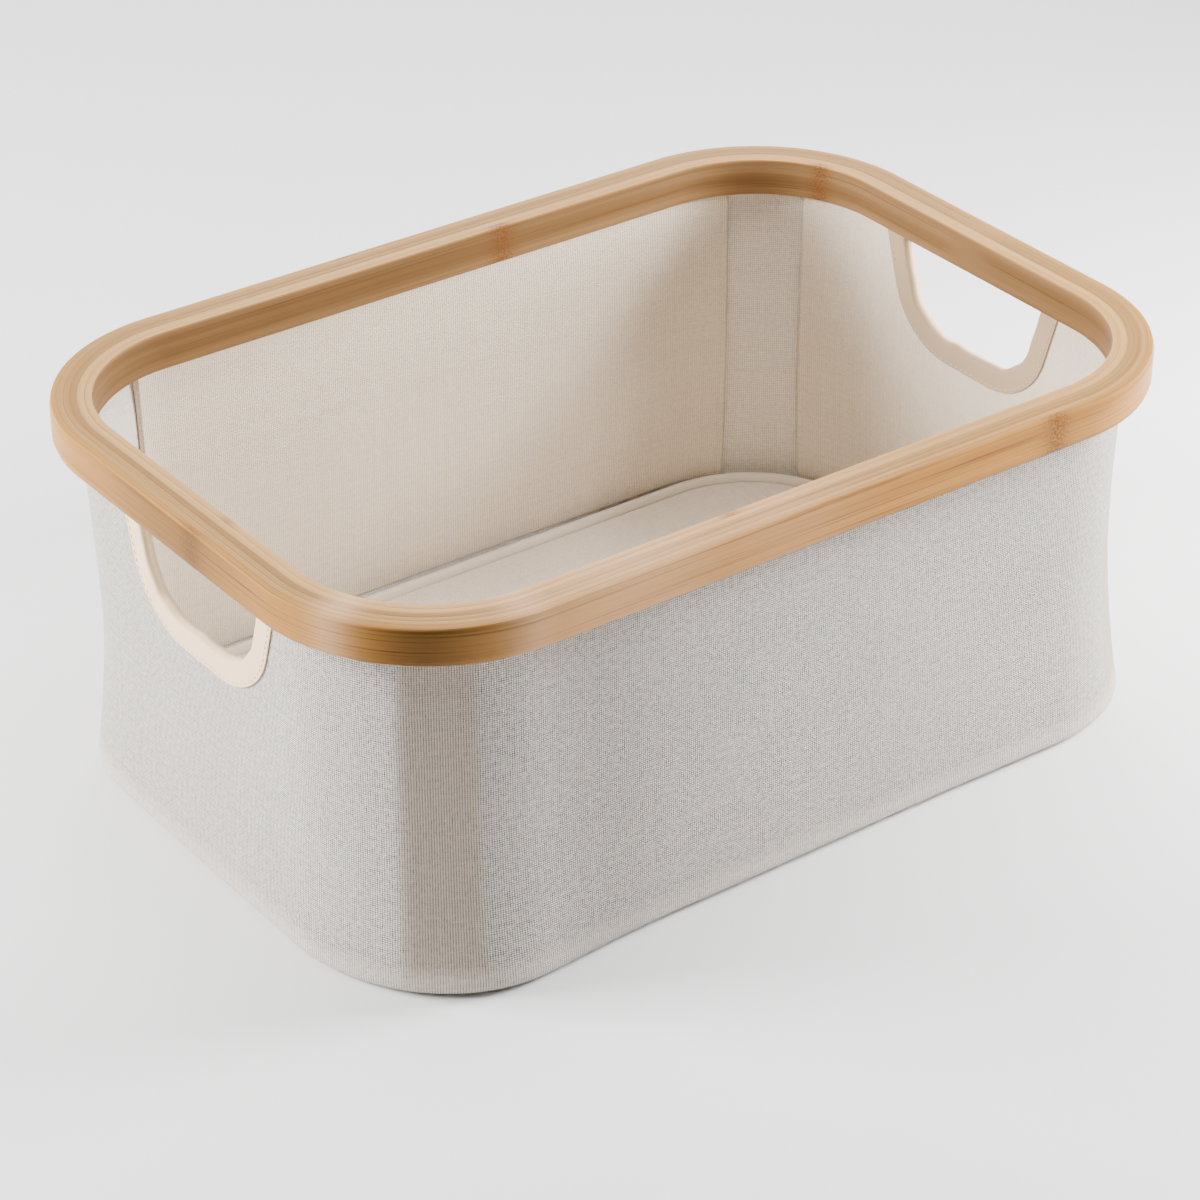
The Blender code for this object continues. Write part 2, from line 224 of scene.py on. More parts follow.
def settled(points, fade=1.0):
    """Wall points as the real fabric and boards stand: drawn in and sprung at the corners, proud along
    the walls, a little wavy, spread towards the foot and rippled at it."""
    x, y, z = points[..., 0], points[..., 1], points[..., 2]
    normal_x, normal_y, distance = plan_frame(x, y)
    out = np.zeros_like(x)
    for side_x, side_y, depth, width in CORNER_PINCHES:
        shape = bump(distance, CORNER_MIDDLE, width) * belly(z, -0.012, RIM_BOTTOM, 0.9)
        out = out - depth * shape * at_corner(x, y, side_x, side_y)
    angle = (distance - ACROSS) / WALL_RADIUS
    end_reach, long_reach = reaches_at(x, y)
    free_half = (math.pi / 2 - long_reach - end_reach) / 2
    off = np.minimum(np.abs(angle - end_reach - free_half), free_half)
    sag = WALL_RADIUS * (1.0 - np.cos(free_half) / np.cos(off))
    height = np.clip(belly(z, 0.0, RIM_BOTTOM) * 2.6, 0.0, 1.0)
    out = out - 0.85 * sag * height
    share = np.clip((angle - end_reach) / (2 * free_half), 0.0, 1.0)
    for side_x, side_y, at_end, at_long in BOARD_SPRINGS:
        from_end = at_end * np.clip(angle / end_reach, 0.0, 1.0) ** 3
        from_long = at_long * np.clip((math.pi / 2 - angle) / long_reach, 0.0, 1.0) ** 3
        spring = (from_end * (1 - share) + from_long * share) * height
        out = out + spring * at_corner(x, y, side_x, side_y)
    spread = np.full_like(out, FOOT_SPREAD)
    for side_x, side_y, *shape in SQUARE_CORNERS:
        spread = spread + hill_of(shape, distance) * at_corner(x, y, side_x, side_y)
    out = out + spread * np.clip(1.0 - z / SPREAD_HEIGHT, 0.0, 1.0) ** 1.5
    clamp = np.clip((RIM_BOTTOM - z) / 0.022, 0.0, 1.0)
    clamp = clamp * clamp * (3 - 2 * clamp)
    out = out + (hill_of(LONG_BULGE, distance) + hill_of(END_BULGE, distance)) * clamp
    wave = np.sin(x * 41.0 + z * 17.0 + 0.7) * np.sin(z * 33.0 + y * 29.0 + 1.9)
    wave = wave + 0.6 * np.sin(x * 73.0 - z * 39.0 + y * 61.0) * np.sin(z * 57.0 + 0.4)
    out = out + 0.00028 * wave * belly(z, 0.0, RIM_BOTTOM, 0.7)
    foot = np.clip(1.0 - z / 0.035, 0.0, 1.0) ** 2
    ripple = np.sin(distance * 52.0 + np.sign(y) * 1.3) * 0.5 + np.sin(distance * 97.0 + 2.0) * 0.3
    out = out + 0.0007 * ripple * foot * np.clip((z - 0.001) / 0.006, 0.0, 1.0)
    front = (y < 0) & (np.abs(x) < HALF_LENGTH)
    out = (out - hill_of(FRONT_TUCK, x) * foot * front) * fade
    return np.stack([x + normal_x * out, y + normal_y * out, z], axis=-1)


# ---------------------------------------------------------------- mesh building


def add_mesh(name, points, faces, uvs=None, layers=None):
    """A mesh object from points and faces, with corner UVs in metres and named point values."""
    mesh = bpy.data.meshes.new(name)
    mesh.from_pydata([tuple(p) for p in points], [], [tuple(f) for f in faces])
    if uvs is not None:
        layer = mesh.uv_layers.new(name="run")
        layer.data.foreach_set("uv", np.asarray(uvs, np.float32).ravel())
    for label, values in (layers or {}).items():
        attribute = mesh.attributes.new(label, "FLOAT", "POINT")
        attribute.data.foreach_set("value", np.asarray(values, np.float32).ravel())
    mesh.validate(clean_customdata=False)
    mesh.shade_smooth()
    mesh.set_sharp_from_angle(angle=math.radians(48.0))
    piece = bpy.data.objects.new(name, mesh)
    bpy.context.scene.collection.objects.link(piece)
    return piece


def loop_mesh(name, grid, u_run, v_run, closed_u=True, closed_v=True, layers=None):
    """A skin over a grid of points (u, v). u_run and v_run have one value more than a closed grid has
    rows or columns, so that the UVs don't fold back at the join. An open u run is capped."""
    nu, nv = grid.shape[:2]
    faces, uvs = [], []
    for i in range(nu if closed_u else nu - 1):
        after_i = (i + 1) % nu
        for j in range(nv if closed_v else nv - 1):
            after_j = (j + 1) % nv
            faces.append((i * nv + j, after_i * nv + j, after_i * nv + after_j, i * nv + after_j))
            uvs += [(u_run[i], v_run[j]), (u_run[i + 1], v_run[j])]
            uvs += [(u_run[i + 1], v_run[j + 1]), (u_run[i], v_run[j + 1])]
    if not closed_u and closed_v:
        for row, order in ((0, range(nv)), (nu - 1, range(nv - 1, -1, -1))):
            faces.append(tuple(row * nv + j for j in order))
            uvs += [(u_run[row], v_run[j]) for j in order]
    flat = {label: np.asarray(values).reshape(-1) for label, values in (layers or {}).items()}
    return add_mesh(name, grid.reshape(-1, 3), faces, uvs, flat)


def thick_sheet(name, outer, inner, u_run, v_run, closed_u=False, keep=None, layers=None):
    """A cloth of real thickness between two grids of points. Cells where keep is false are left out,
    and every free edge is closed with a narrow face."""
    nu, nv = outer.shape[:2]
    cells_u = nu if closed_u else nu - 1
    cells_v = nv - 1
    if keep is None:
        keep = np.ones((cells_u, cells_v), bool)
    count = nu * nv
    faces, uvs = [], []

    def index(i, j, layer):
        return layer * count + (i % nu) * nv + j

    for i in range(cells_u):
        for j in range(cells_v):
            if not keep[i, j]:
                continue
            u0, u1, v0, v1 = u_run[i], u_run[i + 1], v_run[j], v_run[j + 1]
            ring = ((i, j, u0, v0), (i + 1, j, u1, v0), (i + 1, j + 1, u1, v1), (i, j + 1, u0, v1))
            faces.append([index(a, b, 0) for a, b, _, _ in ring])
            uvs += [(u, v) for _, _, u, v in ring]
            faces.append([index(a, b, 1) for a, b, _, _ in reversed(ring)])
            uvs += [(u, v) for _, _, u, v in reversed(ring)]
            for side, (step_u, step_v) in enumerate(((0, -1), (1, 0), (0, 1), (-1, 0))):
                near_u = (i + step_u) % nu if closed_u else i + step_u
                near_v = j + step_v
                inside = 0 <= near_u < cells_u and 0 <= near_v < cells_v
                if inside and keep[near_u, near_v]:
                    continue
                a, b = ring[side], ring[(side + 1) % 4]
                faces.append([index(b[0], b[1], 0), index(a[0], a[1], 0),
                              index(a[0], a[1], 1), index(b[0], b[1], 1)])
                uvs += [(b[2], b[3]), (a[2], a[3]), (a[2], a[3]), (b[2], b[3])]
    points = np.concatenate([outer.reshape(-1, 3), inner.reshape(-1, 3)])
    used = np.unique(np.concatenate([np.array(f) for f in faces]))
    fresh = np.full(len(points), -1)
    fresh[used] = np.arange(len(used))
    faces = [[int(fresh[v]) for v in face] for face in faces]
    flat = {}
    for label, (outside, inside) in (layers or {}).items():
        both = np.concatenate([np.asarray(outside).reshape(-1), np.asarray(inside).reshape(-1)])
        flat[label] = both[used]
    return add_mesh(name, points[used], faces, uvs, flat)


# ---------------------------------------------------------------- node materials


class Paint:
    """A Principled material with short ways to add the nodes that drive it."""

    def __init__(self, name):
        self.material = bpy.data.materials.new(name)
        self.material.use_nodes = True
        self.tree = self.material.node_tree
        self.shader = self.tree.nodes["Principled BSDF"]

    def put(self, socket, value):
        """Link a socket to another, or set its value."""
        if isinstance(value, bpy.types.NodeSocket):
            self.tree.links.new(value, socket)
        elif isinstance(value, tuple) and len(value) == 3 and socket.type == "RGBA":
            socket.default_value = (*value, 1.0)
        else:
            socket.default_value = value

    def node(self, kind, output=0, inputs=None, **settings):
        """Add a node, set its options and inputs, and give one of its outputs."""
        made = self.tree.nodes.new(kind)
        for key, value in settings.items():
            setattr(made, key, value)
        for key, value in (inputs or {}).items():
            self.put(made.inputs[key], value)
        return made.outputs[output]

    def math(self, operation, *values):
        return self.node("ShaderNodeMath", 0, dict(enumerate(values)), operation=operation)

    def chain(self, operation, first, *others):
        """One value combined with each of the others in turn."""
        for other in others:
            first = self.math(operation, first, other)
        return first

    def plus(self, *values):
        return self.chain("ADD", *values)

    def times(self, *values):
        return self.chain("MULTIPLY", *values)

    def less(self, first, second):
        return self.math("SUBTRACT", first, second)

    def sway(self, value, amount):
        """A value between 0 and 1, turned into one that swings to both sides of zero."""
        return self.times(self.less(value, 0.5), amount)

    def hill(self, *offsets):
        """One where every offset is zero, and falling off smoothly round that."""
        squares = [self.times(offset, offset) for offset in offsets]
        return self.math("EXPONENT", self.times(self.plus(*squares), -1.0))

    def mix(self, factor, first, second, kind="RGBA"):
        """A colour between two others."""
        made = self.tree.nodes.new("ShaderNodeMix")
        made.data_type = kind
        for label, value in (("Factor", factor), ("A", first), ("B", second)):
            self.put(made.inputs[label], value)
        return made.outputs["Result"]

    def blend(self, factor, first, second):
        """A number between two others."""
        return self.mix(factor, first, second, "FLOAT")

    def spread(self, value, low, high, to_low=0.0, to_high=1.0):
        """A number's range moved to another range, smoothly."""
        return self.node("ShaderNodeMapRange", 0, {0: value, 1: low, 2: high, 3: to_low, 4: to_high},
                         interpolation_type="SMOOTHSTEP")

    def run(self):
        """The length along and across a piece, in metres, from its UVs."""
        made = self.tree.nodes.new("ShaderNodeSeparateXYZ")
        self.put(made.inputs[0], self.node("ShaderNodeUVMap", uv_map="run"))
        return made.outputs[0], made.outputs[1]

    def vector(self, x, y, z=0.0):
        return self.node("ShaderNodeCombineXYZ", 0, {0: x, 1: y, 2: z})

    def noise(self, vector, scale, detail=3.0, roughness=0.55):
        return self.node("ShaderNodeTexNoise", 0, {"Vector": vector, "Scale": scale, "Detail": detail,
                                                   "Roughness": roughness})

    def place(self):
        """The place on the object."""
        return self.node("ShaderNodeTexCoord", 3)

    def value(self, label):
        """A named value stored on the mesh's points."""
        return self.node("ShaderNodeAttribute", 2, attribute_name=label)

    def lit(self, light, colour):
        """A colour made lighter or darker."""
        return self.node("ShaderNodeHueSaturation", 0, {"Value": light, "Color": colour})

    def finished(self, colour, roughness, relief=None, **plain):
        """Drive the shader and give the material. Relief is (height, strength, distance)."""
        self.put(self.shader.inputs["Base Color"], colour)
        self.put(self.shader.inputs["Roughness"], roughness)
        for label, value in plain.items():
            self.put(self.shader.inputs[SHADER_INPUTS[label]], value)
        if relief:
            labels = ("Height", "Strength", "Distance")
            self.put(self.shader.inputs["Normal"], self.node("ShaderNodeBump", 0, dict(zip(labels, relief))))
        return self.material


SHADER_INPUTS = {"sheen": "Sheen Weight", "sheen_roughness": "Sheen Roughness",
                 "specular": "Specular IOR Level", "metal": "Metallic"}


def woven(paint, seed):
    """A plain weave over the piece's run: the threads' height from 0 in the gaps to 1, how much of
    that comes from the upright threads alone, each thread's own tone, and the place on the run."""
    u, v = paint.run()
    place = paint.vector(u, v, seed)
    shift = paint.sway(paint.noise(place, 420.0, 2.0), 0.00032)
    warp, weft = (paint.math("DIVIDE", paint.plus(length, shift), pitch)
                  for length, pitch in ((u, WARP_PITCH), (v, WEFT_PITCH)))
    across, along = (paint.math("SINE", paint.times(paint.math("FRACT", thread), math.pi))
                     for thread in (warp, weft))
    warp_number, weft_number = (paint.math("FLOOR", thread) for thread in (warp, weft))
    parity = paint.math("MODULO", paint.plus(warp_number, weft_number, 20000.0), 2.0)
    warp_up = paint.times(across, paint.math("POWER", along, 0.6))
    weft_up = paint.times(paint.math("POWER", across, 0.6), along, 0.86)
    tones = [paint.node("ShaderNodeTexWhiteNoise", 0, {"W": number}, noise_dimensions="1D")
             for number in (warp_number, paint.plus(weft_number, 731.0))]
    return paint.blend(parity, warp_up, weft_up), across, paint.blend(parity, *tones), place


def canvas_material(name, tones, contrast, seed=0.0):
    """Plain-woven canvas. Where a board backs it, it is pale and cool; where it hangs free, light passes
    between its threads, so it is painted warmer and darker as painted shade, and its upright threads stand out.
    The glow tone is painted light for the foot and for the inner face, which the light reaches through the
    cloth. Tones are the colours of backed, of bare and of glowing canvas."""
    paint = Paint(name)
    backed, bare, glowing = tones
    height, across, tone, place = woven(paint, seed)
    backing, glow = paint.value("backed"), paint.value("glow")
    # The bare tone is painted shade and the glowing tone is painted light, set by the backed and glow values.
    colour = paint.mix(glow, paint.mix(backing, bare, backed), glowing)
    ribbed = paint.times(paint.math("POWER", across, 1.3), paint.plus(paint.times(height, 0.35), 0.65))
    relief = paint.blend(backing, ribbed, height)
    flecks = paint.spread(paint.noise(place, 520.0, 2.0), 0.25, 0.75, 0.75, 1.2)
    depth = paint.blend(glow, paint.blend(backing, contrast * 0.7, contrast), contrast * 0.4)
    # Painted shade in the gaps between the threads, deepest where the cloth hangs free.
    darker = paint.times(paint.less(1.0, relief), paint.times(flecks, depth))
    light = paint.less(paint.plus(paint.times(depth, 0.30), 1.0), darker)
    light = paint.plus(light, paint.plus(paint.sway(tone, 0.07), paint.sway(paint.noise(place, 26.0), 0.08)))
    # Painted shade from the shade value on the points.
    light = paint.times(light, paint.less(1.0, paint.value("shade")))
    return paint.finished(paint.lit(light, colour), paint.blend(height, 0.95, 0.78), (height, 0.9, 0.00030),
                          sheen=0.06, sheen_roughness=0.5, specular=0.25)


def tape_material(name, colour):
    """Smooth binding tape with a fine crosswise rib, and painted shade that makes its side facing into the bin
    darker.
    """
    paint = Paint(name)
    u, v = paint.run()
    rib = paint.math("SINE", paint.times(u, 2 * math.pi / 0.00075))
    fine = paint.math("SINE", paint.times(v, 2 * math.pi / 0.0006))
    height = paint.plus(paint.times(rib, 0.35), paint.times(fine, 0.15))
    cloud = paint.noise(paint.vector(u, v), 60.0)
    light = paint.plus(0.95, paint.times(cloud, 0.10), paint.times(height, 0.025))
    # Painted shade for the side that faces into the bin.
    shaded = tuple(channel * level for channel, level in zip(colour, (0.50, 0.49, 0.50)))
    colour = paint.lit(light, paint.mix(paint.value("inward"), colour, shaded))
    return paint.finished(colour, paint.blend(cloud, 0.72, 0.86), (height, 0.35, 0.00012),
                          sheen=0.15, specular=0.3)


def thread_material(name, colour):
    """Twisted sewing thread."""
    paint = Paint(name)
    twist = paint.noise(paint.place(), 2400.0, 2.0)
    colour = paint.lit(paint.spread(twist, 0.3, 0.7, 0.82, 1.08), colour)
    return paint.finished(colour, 0.6, (twist, 0.4, 0.0001), sheen=0.2)


# Colour of the painted gloss on the rim's upper edges and on the outermost lamella's face, round the front left
# corner.
PAINTED_GLOSS_COLOUR = (0.60, 0.355, 0.19)
KNUCKLE_BROWN = (0.15, 0.055, 0.016)


def bamboo_material(name, side, top, seed, knuckles=(), veins=(), contrast=1.0):
    """Lacquered bamboo: long straight fibres, darker vascular streaks, knuckle marks across the run and
    brown veins along it. side and top are the (light, middle, dark) colours of the broad faces and of
    the lamellas' upper edges. A knuckle is (place, width, weight), and a vein is (place, length, height
    on the section, width, weight). The fibres fade out where the run starts and ends."""
    paint = Paint(name)
    u, v = paint.run()
    joint = paint.spread(paint.math("MINIMUM", u, paint.less(PERIMETER, u)), 0.0, 0.022, 1.0, 0.0)

    def fibres(along, across, offset, detail=2.0, roughness=0.55):
        place = paint.vector(paint.times(u, along), paint.times(v, across), seed + offset)
        return paint.blend(joint, paint.noise(place, 1.0, detail, roughness), 0.5)

    def wander(length, offset, amount):
        return paint.sway(paint.noise(paint.vector(length, seed + offset), 1.0), amount)

    broad = fibres(2.2, 190.0, 0.0)
    streak = fibres(7.0, 1250.0, 5.0, 4.0, 0.65)
    fibre = fibres(30.0, 4200.0, 9.0)
    patch = fibres(14.0, 60.0, 13.0, 3.0)
    upward = paint.value("top")
    light, middle, dark = (paint.mix(upward, a, b) for a, b in zip(side, top))
    colour = paint.mix(paint.spread(broad, 0.30, 0.72), light, middle)
    # Painted gloss, from the pale value on the points.
    colour = paint.mix(paint.value("pale"), colour, PAINTED_GLOSS_COLOUR)
    colour = paint.mix(paint.spread(streak, 0.50, 0.74, 0.0, 0.8 * contrast), colour, dark)
    marks = []
    for place, width, weight in knuckles:
        off = paint.plus(paint.less(u, place), wander(paint.times(v, 420.0), 21.0, width * 1.6))
        speckle = paint.noise(paint.vector(paint.times(u, 900.0), paint.times(v, 1000.0), seed + 3.0), 1.0, 2.0)
        share = paint.spread(speckle, 0.36, 0.60, 0.25, weight)
        marks.append(paint.times(paint.hill(paint.math("DIVIDE", off, width)), share))
    for place, length, height, width, weight in veins:
        off = paint.less(paint.less(v, height), wander(paint.times(u, 26.0), 31.0, 0.0026))
        along = paint.math("DIVIDE", paint.less(u, place), length)
        share = paint.spread(streak, 0.30, 0.62, 0.55 * weight, weight)
        marks.append(paint.times(paint.hill(paint.math("DIVIDE", off, width), along), share))
    if marks:
        colour = paint.mix(paint.chain("MAXIMUM", *marks), colour, KNUCKLE_BROWN)
    light = paint.plus(0.93, paint.sway(fibre, 0.42), paint.times(patch, 0.14))
    # Painted highlight along the top edges from the edge value, and painted shade from the shade value.
    light = paint.plus(light, paint.times(paint.value("edge"), 0.16))
    light = paint.times(light, paint.less(1.0, paint.value("shade")))
    rough = paint.plus(paint.spread(streak, 0.35, 0.75, 0.30, 0.42), paint.times(fibre, 0.06))
    height = paint.plus(paint.times(streak, -0.6), paint.times(fibre, 0.4))
    return paint.finished(paint.lit(light, colour), rough, (height, 0.25, 0.00012),
                          specular=paint.blend(upward, 0.05, 0.07))


def board_material(name):
    """Grey pressed paper board with short fibres."""
    paint = Paint(name)
    place = paint.place()
    speck = paint.noise(place, 900.0, 4.0, 0.7)
    tone = paint.plus(paint.times(speck, 0.5), paint.times(paint.noise(place, 40.0), 0.5))
    colour = paint.mix(tone, (0.30, 0.28, 0.25), (0.50, 0.48, 0.44))
    return paint.finished(colour, paint.blend(speck, 0.75, 0.92), (speck, 0.3, 0.0002))


def steel_material(name):
    """Drawn steel wire."""
    paint = Paint(name)
    draw = paint.noise(paint.place(), 1800.0, 2.0)
    colour = paint.mix(draw, (0.50, 0.50, 0.52), (0.70, 0.70, 0.72))
    return paint.finished(colour, paint.blend(draw, 0.28, 0.42), metal=1.0)


def floor_material(name):
    """Plain pale studio floor."""
    paint = Paint(name)
    grain = paint.noise(paint.place(), 30.0, 2.0)
    return paint.finished(paint.mix(grain, (0.84, 0.84, 0.84), (0.86, 0.86, 0.86)), 0.9)


def dress(piece, material, body, replaced=()):
    """Give a piece its material, its body and the CAD nodes that it stands for."""
    piece.data.materials.clear()
    piece.data.materials.append(material)
    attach(piece, body)
    if replaced:
        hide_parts(*replaced)
    return piece


# ---------------------------------------------------------------- bamboo rim


def eased(corners, radius, steps):
    """A closed section with its corners rounded. Each corner is ((inset, z), radius or None)."""
    points = []
    count = len(corners)
    for index, (corner, own) in enumerate(corners):
        size = own if own is not None else radius
        before = np.array(corners[index - 1][0])
        after = np.array(corners[(index + 1) % count][0])
        here = np.array(corner)
        into = (before - here) / np.linalg.norm(before - here)
        out = (after - here) / np.linalg.norm(after - here)
        for step in range(steps + 1):
            share = step / steps
            curve = (1 - share) ** 2 * (here + into * size) + 2 * share * (1 - share) * here
            curve = curve + share**2 * (here + out * size)
            points.append(curve)
    return np.array(points)


def refined(section, longest):
    """A closed section with its long straights divided, so that values stored on points stay local."""
    points = []
    for start, end in zip(section, np.roll(section, -1, axis=0)):
        count = max(1, math.ceil(np.linalg.norm(end - start) / longest))
        points += [start + (end - start) * step / count for step in range(count)]
    return np.array(points)


# Shade and gloss painted into the outermost lamella round the front left corner, because the lights
# alone don't give them: (place, width, amount), the places in metres from where that corner starts at
# the left end. They are fixed to the part and don't follow the lights.
DARKER_STRETCHES = ((-0.060, 0.070, 0.58), (0.066, 0.027, 0.66))
PALER_STRETCHES = ((0.034, 0.0085, 0.75), (0.109, 0.013, 0.75), (0.150, 0.050, 0.62), (0.215, 0.040, 0.35))


def strongest(place, stretches):
    """The greatest of several smooth hills, each (place, width, amount)."""
    return np.maximum.reduce([amount * bump(place, middle, width) for middle, width, amount in stretches])


def painted_shade_and_gloss(x, y):
    """The painted shade and gloss at plan points, from their place round the front left corner."""
    angle = np.arctan2(np.clip(-ACROSS - y, 0.0, None), np.clip(-ALONG - x, 1e-9, None))
    front = (y < 0) & (x >= -ALONG)
    place = np.where(front, CORNER_RADIUS * math.pi / 2 + x + ALONG, CORNER_RADIUS * angle)
    place = np.where((x < -ALONG) & (y >= -ACROSS), -ACROSS - y, place)
    near = front | (x < -ALONG)
    return near * strongest(place, DARKER_STRETCHES), near * strongest(place, PALER_STRETCHES)


LAMELLA_THICKNESS = {f"outer_hoop_ply_{n}": 0.00235 for n in range(1, 5)}
LAMELLA_THICKNESS.update({f"inner_hoop_ply_{n}": 0.0026 for n in range(1, 3)})
# Half of the glue line between two lamellas, the outline's steps, and the clearance round the canvas.
GLUE_LINE = 0.00013
RIM_STEPS = (30, 48, 30)
REBATE_GAP = 0.0003


def rim_lamella(node, material, own_radius=None, light_corners=()):
    """One bamboo lamella bent round the rim, over its CAD ply."""
    low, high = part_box(node)
    face = HALF_LENGTH - high.x
    outermost = face < 0.001
    outside = face if outermost else face - GLUE_LINE
    inside = face + LAMELLA_THICKNESS[node] + GLUE_LINE
    corners = [((outside, low.z), own_radius), ((outside, high.z), own_radius),
               ((inside, high.z), None), ((inside, low.z), None)]
    if node == "outer_hoop_ply_4":
        step, ledge = CANVAS_OUTSIDE - REBATE_GAP, CANVAS_TOP + REBATE_GAP
        corners[3:] = [((inside, ledge), None), ((step, ledge), None), ((step, low.z), None)]
    section = refined(eased(corners, 0.00006, 2), 0.0011)
    grid = ring_grid(section, *RIM_STEPS)
    # Painted highlight along the lamella's top edges: full at the given corners, gone 2.6 mm from them.
    edge_highlight = np.zeros(len(section))
    if light_corners:
        distance = np.minimum.reduce([np.hypot(*(section - corner).T) for corner in light_corners])
        edge_highlight = np.clip(1.0 - distance / 0.0026, 0.0, 1.0)
    upward = (section[:, 1] > RIM_TOP - 0.0007).astype(float)
    edge_highlight, upward = (np.broadcast_to(values[None, :], grid.shape[:2]) for values in (edge_highlight, upward))
    shade, pale = painted_shade_and_gloss(grid[..., 0], grid[..., 1])
    share = (1.0 - upward) * outermost
    # Painted point values: edge is the highlight along the top edges, shade is the shade on the outermost face,
    # and pale is the gloss on that face and on the upper edges.
    layers = {"edge": edge_highlight, "top": upward, "shade": shade * share, "pale": pale * (share + 0.9 * upward)}
    piece = loop_mesh(f"{node}_bamboo", grid, run_of(outline(0.0, *RIM_STEPS)), run_of(section), layers=layers)
    dress(piece, material, "bin", (node,))


# The rim's length round its outer face, and where its back left corner and its front side start.
PERIMETER = 4 * ACROSS + 4 * ALONG + 2 * math.pi * CORNER_RADIUS
BACK_START = ACROSS + CORNER_RADIUS * math.pi / 2
BACK_LEFT_START = BACK_START + 2 * ALONG
FRONT_START = BACK_LEFT_START + 2 * ACROSS + CORNER_RADIUS * math.pi

# Light, middle and dark colour of the lamellas' broad faces and of their upper edges.
SIDE_TONES = ((0.245, 0.139, 0.060), (0.167, 0.088, 0.034), (0.055, 0.020, 0.005))
FACE_TONES = ((0.47, 0.222, 0.052), (0.35, 0.150, 0.031), (0.11, 0.036, 0.006))
TOP_TONES = ((0.40, 0.212, 0.062), (0.31, 0.158, 0.043), (0.14, 0.058, 0.013))
INNER_TOP_TONES = ((0.45, 0.25, 0.085), (0.37, 0.195, 0.063), (0.22, 0.10, 0.028))
# The hidden lamellas' tops get darker towards the inside, by these factors.
PLY_TOP_LEVELS = (0.96, 0.86, 0.80)

OUTER_KNUCKLES = ((FRONT_START + 2 * ALONG - 0.018, 0.0065, 0.95),
                  (BACK_LEFT_START + CORNER_RADIUS * math.pi / 2 + ACROSS + 0.018, 0.0075, 0.6),
                  (BACK_START + 0.16, 0.0045, 0.7))
OUTER_VEINS = ((FRONT_START + ALONG + 0.010, 0.050, 0.0172, 0.00090, 0.90),
               (FRONT_START + ALONG + 0.080, 0.028, 0.0118, 0.00085, 0.70),
               (FRONT_START + ALONG - 0.060, 0.035, 0.0075, 0.00060, 0.50))
INNER_KNUCKLES = ((BACK_START + 0.092, 0.0062, 0.85), (ACROSS + 0.033, 0.0060, 0.85),
                  (FRONT_START + 0.09, 0.0045, 0.7), (BACK_LEFT_START + 0.2, 0.0045, 0.6))


def build_rim():
    """Four lamellas in the outer hoop, of which the outermost shows its face, and two in the inner."""
    node = "outer_hoop_ply_1"
    material = bamboo_material("bamboo_outer_face", FACE_TONES, TOP_TONES, 1.0, OUTER_KNUCKLES, OUTER_VEINS)
    rim_lamella(node, material, RIM_EDGE_RADIUS, ((0.0, RIM_TOP), (LAMELLA_THICKNESS[node], RIM_TOP)))
    for number, level in enumerate(PLY_TOP_LEVELS, 2):
        top = tuple(tuple(channel * level for channel in tone) for tone in TOP_TONES)
        material = bamboo_material(f"bamboo_outer_{number}", SIDE_TONES, top, 3.0 * number, contrast=0.8)
        rim_lamella(f"outer_hoop_ply_{number}", material)
    for number, knuckles in enumerate(((), INNER_KNUCKLES), 1):
        node = f"inner_hoop_ply_{number}"
        material = bamboo_material(f"bamboo_inner_{number}", SIDE_TONES, INNER_TOP_TONES, 20.0 + number,
                                   knuckles, contrast=0.7)
        inner_edge = HALF_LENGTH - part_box(node)[1].x + LAMELLA_THICKNESS[node]
        rim_lamella(node, material, None, ((inner_edge, RIM_TOP),))


# ---------------------------------------------------------------- canvas sleeve and wall panels


# How far the cloth and boards are cut back from the taped edge of a handle opening.
CUT_OUTSET = 0.0035


def handle_shape(outset):
    """A handle opening grown by outset: its floor, its side's place at the rim's underside, and the
    centre and radius of its lower corner."""
    floor = RIM_BOTTOM - HANDLE_DEPTH - outset
    radius = HANDLE_CORNER_RADIUS + outset
    side = HANDLE_WIDTH / 2 + outset / math.cos(HANDLE_SLANT)
    centre_z = floor + radius
    centre_y = side - (RIM_BOTTOM - centre_z) * math.tan(HANDLE_SLANT) - radius / math.cos(HANDLE_SLANT)
    return floor, side, centre_y, centre_z, radius


def handle_edge(outset, steps=28, straight_steps=6):
    """The handle opening's edge as (y, z), moved outwards by outset and ended at the panels' top."""
    _, side, centre_y, centre_z, radius = handle_shape(outset)

    def round_corner(angle):
        return np.array([centre_y + radius * math.cos(angle), centre_z + radius * math.sin(angle)])

    first = np.array([side + (PANEL_TOP - RIM_BOTTOM) * math.tan(HANDLE_SLANT), PANEL_TOP])
    touch = round_corner(-HANDLE_SLANT)
    half = [first + (touch - first) * step / straight_steps for step in range(straight_steps)]
    turn = math.pi / 2 - HANDLE_SLANT
    half += [round_corner(-HANDLE_SLANT - turn * step / steps) for step in range(steps + 1)]
    mirrored = [np.array([-y, z]) for y, z in reversed(half)]
    flat = [half[-1] + (mirrored[0] - half[-1]) * step / 6 for step in range(1, 6)]
    return np.array(half + flat + mirrored)


def in_handle(x, y, z, outset):
    """Whether points of an end wall lie inside the handle opening grown by outset."""
    floor, side, centre_y, centre_z, radius = handle_shape(outset)
    off = np.abs(y - np.where(x < 0, HANDLE_SHIFTS["left"], HANDLE_SHIFTS["right"]))
    inside = (off < side - (RIM_BOTTOM - z) * math.tan(HANDLE_SLANT)) & (z > floor)
    low = z < centre_z - radius * math.sin(HANDLE_SLANT)
    return inside & ~(low & (off > centre_y) & (np.hypot(off - centre_y, z - centre_z) > radius))


